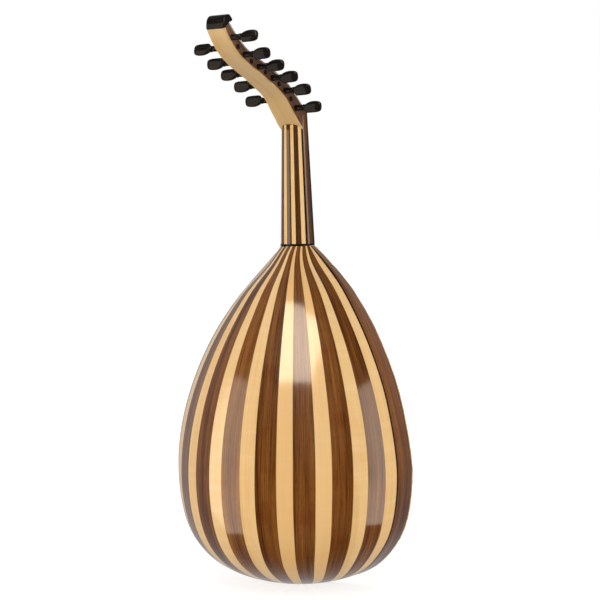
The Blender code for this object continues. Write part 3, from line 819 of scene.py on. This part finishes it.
# The cap's outline from its back corner over the top to the lip on the strings' side, as (y, z) offsets
# from the end of the pegbox's middle line
FINIAL_OUTLINE = [(0.0066, -0.0005), (0.0065, 0.0022), (0.0059, 0.0059), (0.0045, 0.0101), (0.0021, 0.0130)]
FINIAL_OUTLINE += [(-0.0002, 0.0144), (-0.0025, 0.0152), (-0.0044, 0.0155), (-0.0063, 0.0154)]
FINIAL_OUTLINE += [(-0.0084, 0.0140), (-0.0105, 0.0118), (-0.0134, 0.0087), (-0.0114, 0.0064)]


def make_finial():
    """The ebony cap on the pegbox's end, with soft edges."""
    end = PEGBOX_LENGTH
    depth = pegbox_depth(end)
    middle, tangent = pegbox_point(end, 0)
    base = tangent * GAP
    front = pegbox_point(end, depth / 2)[0] + base
    back = pegbox_point(end, -depth / 2 - 0.0006)[0] + base
    outline = [back] + [middle + Vector(offset) for offset in FINIAL_OUTLINE] + [front]
    half = pegbox_half_width(end) + 0.0004
    rings = [[Vector((x, p.x, p.y)) for p in outline] for x in (-half, half)]
    points, faces = loft(rings)
    cap = piece("finial_cap", points, faces, EBONY, replaces=("finial",), sharp=60)
    bevel = cap.modifiers.new("soft_edges", "BEVEL")
    bevel.width = 0.0016
    bevel.segments = 5
    bevel.limit_method = "ANGLE"
    bevel.angle_limit = math.radians(40)


# ---------------- the pegs

# Along the peg from the cheek's face: distance, half thickness, and reach on the shouldered and smooth edges
PEG_PROFILE = [
    (0.0000, 0.00420, 0.00420, 0.00420),
    (0.0070, 0.00405, 0.00405, 0.00405),
    (0.0128, 0.00400, 0.00400, 0.00400),
    (0.0133, 0.00445, 0.00445, 0.00445),
    (0.0140, 0.00470, 0.00470, 0.00470),
    (0.0147, 0.00450, 0.00450, 0.00450),
    (0.0153, 0.00395, 0.00400, 0.00400),
    (0.0162, 0.00380, 0.00450, 0.00410),
    (0.0170, 0.00370, 0.00640, 0.00440),
    (0.0177, 0.00365, 0.00745, 0.00480),
    (0.0190, 0.00360, 0.00790, 0.00560),
    (0.0215, 0.00355, 0.00800, 0.00670),
    (0.0250, 0.00350, 0.00795, 0.00770),
    (0.0290, 0.00345, 0.00790, 0.00820),
    (0.0335, 0.00340, 0.00775, 0.00820),
    (0.0375, 0.00325, 0.00735, 0.00780),
    (0.0405, 0.00295, 0.00650, 0.00690),
    (0.0422, 0.00235, 0.00500, 0.00530),
    (0.0431, 0.00150, 0.00300, 0.00320),
    (0.0434, 0.00050, 0.00090, 0.00090),
]
HEAD_STARTS = 0.0153
HEAD_SQUARENESS = 0.30
PEG_SIDES = 28
PEG_TIP = ((0.0, 0.0022), (0.0004, 0.0032), (0.0009, 0.0034))
PEG_TIP_REACH = 0.0015
PEG_ROOT_RADIUS = 0.0041
PEG_SHOULDER_GAP = 0.0005
PEG_TURN_SPREAD = 14


def peg_ring(x, thick, shouldered, smooth, squareness):
    """The peg's section at x: an oval whose two edges can reach out by different amounts."""
    ring = ring_x(x, thick, 1.0, PEG_SIDES, 1 - squareness)
    return [Vector((p.x, p.y, p.z * (shouldered if p.z > 0 else smooth))) for p in ring]


def make_pegs():
    """The pegs, each turned to an angle of its own, with its string's turns."""
    for number in range(STRING_COUNT):
        run = FIRST_PEG_RUN + PEG_SPACING * number
        reach = pegbox_half_width(run)
        name = f"peg_{number + 1:02d}"
        joint = next(j for j in frame["joints"] if j["child"] == name)
        centre = Vector(joint["pos_m"])
        low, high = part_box(name)
        flip = abs(low.x) > abs(high.x)
        turn = random.uniform(-PEG_TURN_SPREAD, PEG_TURN_SPREAD)
        turned = Matrix.Rotation(math.radians(turn), 4, "X")
        faced = Matrix.Rotation(math.pi, 4, "Y") if flip else Matrix.Identity(4)
        place = Matrix.Translation(centre) @ faced @ turned
        tip = -reach - PEG_TIP_REACH
        rings = [ring_x(tip + along, radius, radius, PEG_SIDES) for along, radius in PEG_TIP]
        rings.append(ring_x(reach, PEG_ROOT_RADIUS, PEG_ROOT_RADIUS, PEG_SIDES))
        for along, thick, shouldered, smooth in PEG_PROFILE:
            squareness = HEAD_SQUARENESS * smoothstep((along - HEAD_STARTS) / 0.003)
            x = reach + PEG_SHOULDER_GAP + along
            rings.append(peg_ring(x, thick, shouldered, smooth, squareness))
        points, faces = loft([[place @ p for p in ring] for ring in rings])
        piece(f"{name}_turned", points, faces, EBONY, name, (name,), sharp=50)
        make_winding(number, name, place)


def string_look(wound):
    """The material and slot of a string."""
    return (WOUND, "wound_string") if wound else (NYLON, "nylon")


def make_winding(number, name, place):
    """The string's turns round the peg, inside the pegbox."""
    wound = number in WOUND_PEGS
    radius = 0.00045 if wound else 0.00032
    turns, steps = 5, 14
    points = []
    for i in range(turns * steps + 1):
        turn = math.tau * i / steps
        x = (number % 3 - 1) * 0.003 + 2.1 * radius * i / steps
        out = PEG_ROOT_RADIUS + radius
        points.append(place @ Vector((x, out * math.cos(turn), out * math.sin(turn))))
    thread(f"{name}_winding", [points], radius, *string_look(wound), name)


# ---------------- the front


def flat_ring(name, x, z, inner, outer, front, back, material, sides=96):
    """A flat washer facing the front, between two Y values."""
    turns = [math.tau * i / sides for i in range(sides)]
    corners = ((inner, front), (outer, front), (outer, back), (inner, back))
    points = [Vector((x + r * math.cos(a), y, z + r * math.sin(a))) for a in turns for r, y in corners]
    faces = []
    for i in range(sides):
        j = (i + 1) % sides
        for k in range(4):
            m = (k + 1) % 4
            faces.append((4 * i + k, 4 * i + m, 4 * j + m, 4 * j + k))
    return piece(name, points, faces, material)


def lattice(name, x, z, radius, y, thickness, petals):
    """A pierced rosette: interlaced circles inside a rim."""
    steps = 64
    circles = [(0.0, 0.0, radius * 0.97), (0.0, 0.0, radius * 0.24)]
    for i in range(petals):
        turn = math.tau * i / petals
        circles.append((radius * 0.48 * math.cos(turn), radius * 0.48 * math.sin(turn), radius * 0.48))
    turns = [math.tau * i / steps for i in range(steps)]
    lines = []
    for cx, cz, r in circles:
        lines.append([(x + cx + r * math.cos(a), y, z + cz + r * math.sin(a)) for a in turns])
    return thread(name, lines, thickness, BONE, "bone", closed=True)


def make_rosettes():
    """A carved rosette in each sound hole, with dark and pale rings let in round it."""
    names = ("main", "left", "right")
    bands = ((0.4, 1.2, EBONY, "ebony"), (1.2, 1.9, BONE, "bone"), (1.9, 2.7, EBONY, "ebony"))
    for name, (x, t, radius) in zip(names, SOUND_HOLES):
        z = JOINT_Z - t
        big = name == "main"
        thickness, petals, rim = (0.0011, 12, 0.0013) if big else (0.0007, 8, 0.0009)
        carving = lattice(f"{name}_carving", x, z, radius + 0.001, 0.0030, thickness, petals)
        if big:
            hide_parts("main_rosette")
        for i, (start, end, material, slot) in enumerate(bands):
            inner, outer = radius + rim * start, radius + rim * end
            flat_ring(f"{name}_ring_{i + 1}", x, z, inner, outer, -0.00012, 0.0005, material)


# The lines let into the soundboard's edge: distance from the edge, width, and look
EDGE_LINES = (
    ("edge_line_dark", 0.0, 0.0016, EBONY, "ebony"),
    ("edge_line_pale", 0.0016, 0.0008, BONE, "bone"),
)


def edge_outline(half_steps=60):
    """The soundboard's outline in X and Z, from the heel round the tail and back."""
    outline = []
    for i in range(2 * half_steps + 1):
        t = BOWL_LENGTH * math.sin(math.pi / 2 * (1 - abs(1 - i / half_steps)))
        t = max(t, 0.001)
        side = -1 if i <= half_steps else 1
        half = math.sqrt(max(BOWL_LENGTH - t, 0) * width_spread(t)) + side_flare(t)
        outline.append(Vector((side * half, JOINT_Z - t)))
    return outline


def make_edge_binding():
    """The dark and pale lines let into the soundboard's edge."""
    outline = edge_outline()
    for name, outset, width, material, slot in EDGE_LINES:
        sections = []
        for i, spot in enumerate(outline):
            before, after = outline[max(i - 1, 0)], outline[min(i + 1, len(outline) - 1)]
            along = (after - before).normalized()
            inward = Vector((-along.y, along.x))
            near, far = spot + inward * (outset + 0.0001), spot + inward * (outset + width)
            corners = ((near, -0.0001), (far, -0.0001), (far, 0.0006), (near, 0.0006))
            sections.append([Vector((p.x, y, p.y)) for p, y in corners])
        points, faces = loft(sections)
        piece(name, points, faces, material)


# The pickguard: its ends' distances below the neck joint, and its half width
PICKGUARD_ENDS = (0.213, 0.335)
PICKGUARD_HALF_WIDTH = 0.021


def make_pickguard():
    """A thin leaf-shaped plate that guards the soundboard where the plectrum strikes."""
    top, bottom = (JOINT_Z - end for end in PICKGUARD_ENDS)
    outline = []
    steps = 40
    for i in range(2 * steps):
        share = i / steps if i <= steps else 2 - i / steps
        side = 1 if i <= steps else -1
        leaf = math.sin(math.pi * share) ** 0.65 * (1 + 0.25 * math.cos(math.pi * share))
        outline.append((side * PICKGUARD_HALF_WIDTH * leaf, between((bottom, top), share)))
    middle = (top + bottom) / 2
    rings = []
    for k, y in ((1, 0.0), (1, -0.0003), (0.985, -0.0005)):
        rings.append([Vector((x * k, y, (z - middle) * k + middle)) for x, z in outline])
    points, faces = loft(rings)
    piece("pickguard", points, faces, PLAIN_WALNUT)


# Half of the bridge from its tip inwards: share of the half length, height and half depth. The bridge's
# middle is as tall as the CAD's.
BRIDGE_HALF = [(1.0, 0.0016, 0.0022), (0.985, 0.0024, 0.0036), (0.9, 0.003, 0.0048), (0.80, 0.0036, 0.0055)]
BRIDGE_HALF += [(0.765, 0.0052, 0.0058), (0.735, 0.0078, 0.006)]
BRIDGE_SHOULDER, BRIDGE_DEPTH = 0.715, 0.006


def make_bridge():
    """The glued bridge, with a loop of string tied at each hole."""
    low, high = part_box("bridge")
    middle = (low.z + high.z) / 2
    tall = -low.y
    half = BRIDGE_HALF + [(BRIDGE_SHOULDER, tall, BRIDGE_DEPTH)]
    stations = [(-share * high.x, height, depth) for share, height, depth in half]
    stations += [(-x, height, depth) for x, height, depth in stations[::-1]]
    sections = []
    for x, height, depth in stations:
        shape = [(-0.0001, -depth), (-0.0001, depth), (-height * 0.75, depth), (-height * 0.93, depth * 0.8)]
        shape += [(-height, depth * 0.4), (-height, -depth * 0.75), (-height * 0.9, -depth)]
        sections.append([Vector((x, y, middle + z)) for y, z in shape])
    points, faces = loft(sections)
    piece("bridge_carved", points, faces, PLAIN_WALNUT, replaces=("bridge",), sharp=50)
    for number in range(STRING_COUNT):
        make_tie(number)


def make_tie(number, steps=24):
    """The loop of string tied at one of the bridge's holes."""
    wound = number < WOUND_STRINGS
    corner = string_foot(number)
    loop = []
    for i in range(steps + 1):
        turn = math.tau * i / steps
        x = corner.x + 0.0006 * math.sin(turn / 2)
        y = corner.y + 0.0011 * math.cos(turn) - 0.0004
        loop.append(Vector((x, y, corner.z - 0.0008 + 0.0016 * math.sin(turn))))
    thread(f"tie_{number + 1:02d}", [loop], 0.00045 if wound else 0.00035, *string_look(wound))


def string_foot(number):
    """The end of a CAD string at the bridge."""
    mesh = frame["nodes"][f"string_{number + 1:02d}"].data
    places = np.array([v.co for v in mesh.vertices])
    low = places[:, 2].min()
    return Vector(places[places[:, 2] < low + 0.0002].mean(0))


# ---------------- the CAD nodes that stay

SPRUCE_NODES = ("soundboard", "neck_block", "tail_block", "brace_1", "brace_2", "brace_3")
KEPT = {name: (SPRUCE, "spruce") for name in SPRUCE_NODES}
KEPT |= {"fingerboard": (EBONY, "ebony"), "end_clasp": (EBONY, "ebony"), "nut": (BONE, "bone")}
KEPT["pegbox_root"] = (ROOT_WALNUT, "cheek_walnut")


def finish_kept_nodes():
    """Give the CAD's strings, soundboard and other plain parts their looks."""
    for number in range(STRING_COUNT):
        KEPT[f"string_{number + 1:02d}"] = string_look(number < WOUND_STRINGS)
    for name, (material, slot) in KEPT.items():
        node = frame["nodes"][name]
        node.data.materials.clear()
        node.data.materials.append(material)


# ---------------- the studio


def direction(azimuth, elevation):
    """The way to a camera or a light at this azimuth and elevation, as the views use them."""
    a, e = math.radians(azimuth), math.radians(elevation)
    return Vector((math.sin(a) * math.cos(e), -math.cos(a) * math.cos(e), math.sin(e)))


def make_camera():
    """The camera at the photo's angle."""
    data = bpy.data.cameras.new("camera")
    data.lens = CAMERA_LENS
    data.sensor_width = 36.0
    data.clip_end = 50.0
    camera = add_object("camera", data)
    back = direction(CAMERA_AZIMUTH, CAMERA_ELEVATION)
    turn = back.to_track_quat("Z", "Y").to_matrix() @ Matrix.Rotation(-CAMERA_ROLL, 3, "Z")
    camera.matrix_world = Matrix.Translation(CAMERA_AIM + back * CAMERA_DISTANCE) @ turn.to_4x4()
    bpy.context.scene.camera = camera


BODY_MIDDLE = Vector((0.0, 0.08, -0.40))
WARM = (1.0, 0.86, 0.70)


def softbox(name, azimuth, elevation, distance, width, height, radiance, reflected=True, lights_wood=True):
    """A soft rectangular light that faces the bowl. It can be only a reflection, or a fill without one."""
    data = bpy.data.lights.new(name, "AREA")
    data.color = WARM if reflected else (1.0, 1.0, 1.0)
    data.shape = "RECTANGLE"
    data.size = width
    data.size_y = height
    data.energy = math.pi * width * height * radiance
    light = add_object(name, data)
    back = direction(azimuth, elevation)
    turn = back.to_track_quat("Z", "Y").to_matrix().to_4x4()
    light.matrix_world = Matrix.Translation(BODY_MIDDLE + back * distance) @ turn
    light.visible_camera = False
    light.visible_glossy = reflected
    light.visible_diffuse = lights_wood


def make_lights():
    """Softboxes at an azimuth, elevation and distance, with their width, height and radiance."""
    softbox("key_window", 201, 53, 1.7, 1.06, 0.92, 10.5, lights_wood=False)
    softbox("key", 200, 50, 1.7, 1.1, 0.8, 3.4, reflected=False)
    softbox("fill", 214, 20, 2.6, 2.6, 1.8, 2.2, reflected=False)
    softbox("bounce", 214, -42, 2.2, 2.6, 1.8, 1.55, reflected=False)
    softbox("left_panel", 136, -3, 1.9, 0.85, 2.4, 3.0)
    softbox("right_panel", 287, -3, 1.9, 0.62, 2.4, 4.0)


FRONT_AZIMUTH = 216.5
REFLECTED_SHARE = 0.48


def make_world():
    """A white surround behind the oud that fades to dark in front, so the lacquer stays deep.

    The camera sees it evenly white, and reflections see it dimmed.
    """
    world = bpy.data.worlds.new("studio")
    bpy.context.scene.world = world
    tree = Tree("studio", world)
    place = tree.add("ShaderNodeTexCoord").outputs["Generated"]
    inputs = {0: place, 1: -direction(FRONT_AZIMUTH, 0)}
    ahead = tree.add("ShaderNodeVectorMath", inputs, operation="DOT_PRODUCT").outputs["Value"]
    inputs = {"Value": ahead, "From Min": -0.35, "From Max": 0.75, "To Min": 0.03, "To Max": 1.0}
    fade = tree.add("ShaderNodeMapRange", inputs, interpolation_type="SMOOTHSTEP").outputs["Result"]
    ray = tree.add("ShaderNodeLightPath").outputs
    mirrored = tree.add("ShaderNodeMix", {0: ray["Is Glossy Ray"], 2: 1.0, 3: REFLECTED_SHARE}).outputs[0]
    dimmed = tree.math("MULTIPLY", fade, mirrored)
    seen = tree.add("ShaderNodeMix", {0: ray["Is Camera Ray"], 2: dimmed, 3: 1.0}).outputs[0]
    background = tree.nodes["Background"]
    tree.feed(background.inputs["Strength"], seen)
    tree.feed(background.inputs["Color"], (1.0, 1.0, 1.0, 1.0))


def make_floor():
    """A pale floor with a painted glow of its own, which rises away from the oud so that the floor brightens
    to the white surround.
    """
    tree = Tree("pale_floor")
    place = tree.add("ShaderNodeTexCoord").outputs["Object"]
    cloud = tree.noise(place, (3, 3, 3), 2.0)
    colour = tree.ramp(cloud, [(0.3, (0.30, 0.30, 0.30)), (0.7, (0.33, 0.33, 0.325))])
    tree.finish(colour, 0.8)
    flat = tree.stretched(place, (1, 1, 0))
    distance = tree.add("ShaderNodeVectorMath", {0: flat}, operation="LENGTH").outputs["Value"]
    # Painted glow: the floor emits light of its own, 0.80 everywhere plus up to 0.22 more with distance from
    # the oud.
    painted_glow = tree.math("MULTIPLY", tree.mask(distance, 0.0, 1.3), 0.22)
    tree.shader.inputs["Emission Color"].default_value = (1.0, 1.0, 1.0, 1.0)
    tree.feed(tree.shader.inputs["Emission Strength"], tree.math("ADD", painted_glow, 0.80))
    z = cad_box[0].z - 0.001
    mesh = bpy.data.meshes.new("floor")
    size = 14.0
    corners = [(-size, -size, z), (size, -size, z), (size, size, z), (-size, size, z)]
    mesh.from_pydata(corners, [], [(0, 1, 2, 3)])
    mesh.materials.append(tree.owner)
    floor = add_object("floor", mesh)
    floor.visible_glossy = False
    floor.visible_diffuse = False
    floor.visible_shadow = False


make_bowl()
make_neck()
make_cheeks()
make_back_veneer()
make_finial()
make_pegs()
make_rosettes()
make_edge_binding()
make_pickguard()
make_bridge()
finish_kept_nodes()
make_camera()
make_lights()
make_world()
make_floor()
bpy.context.scene.view_settings.view_transform = "Standard"
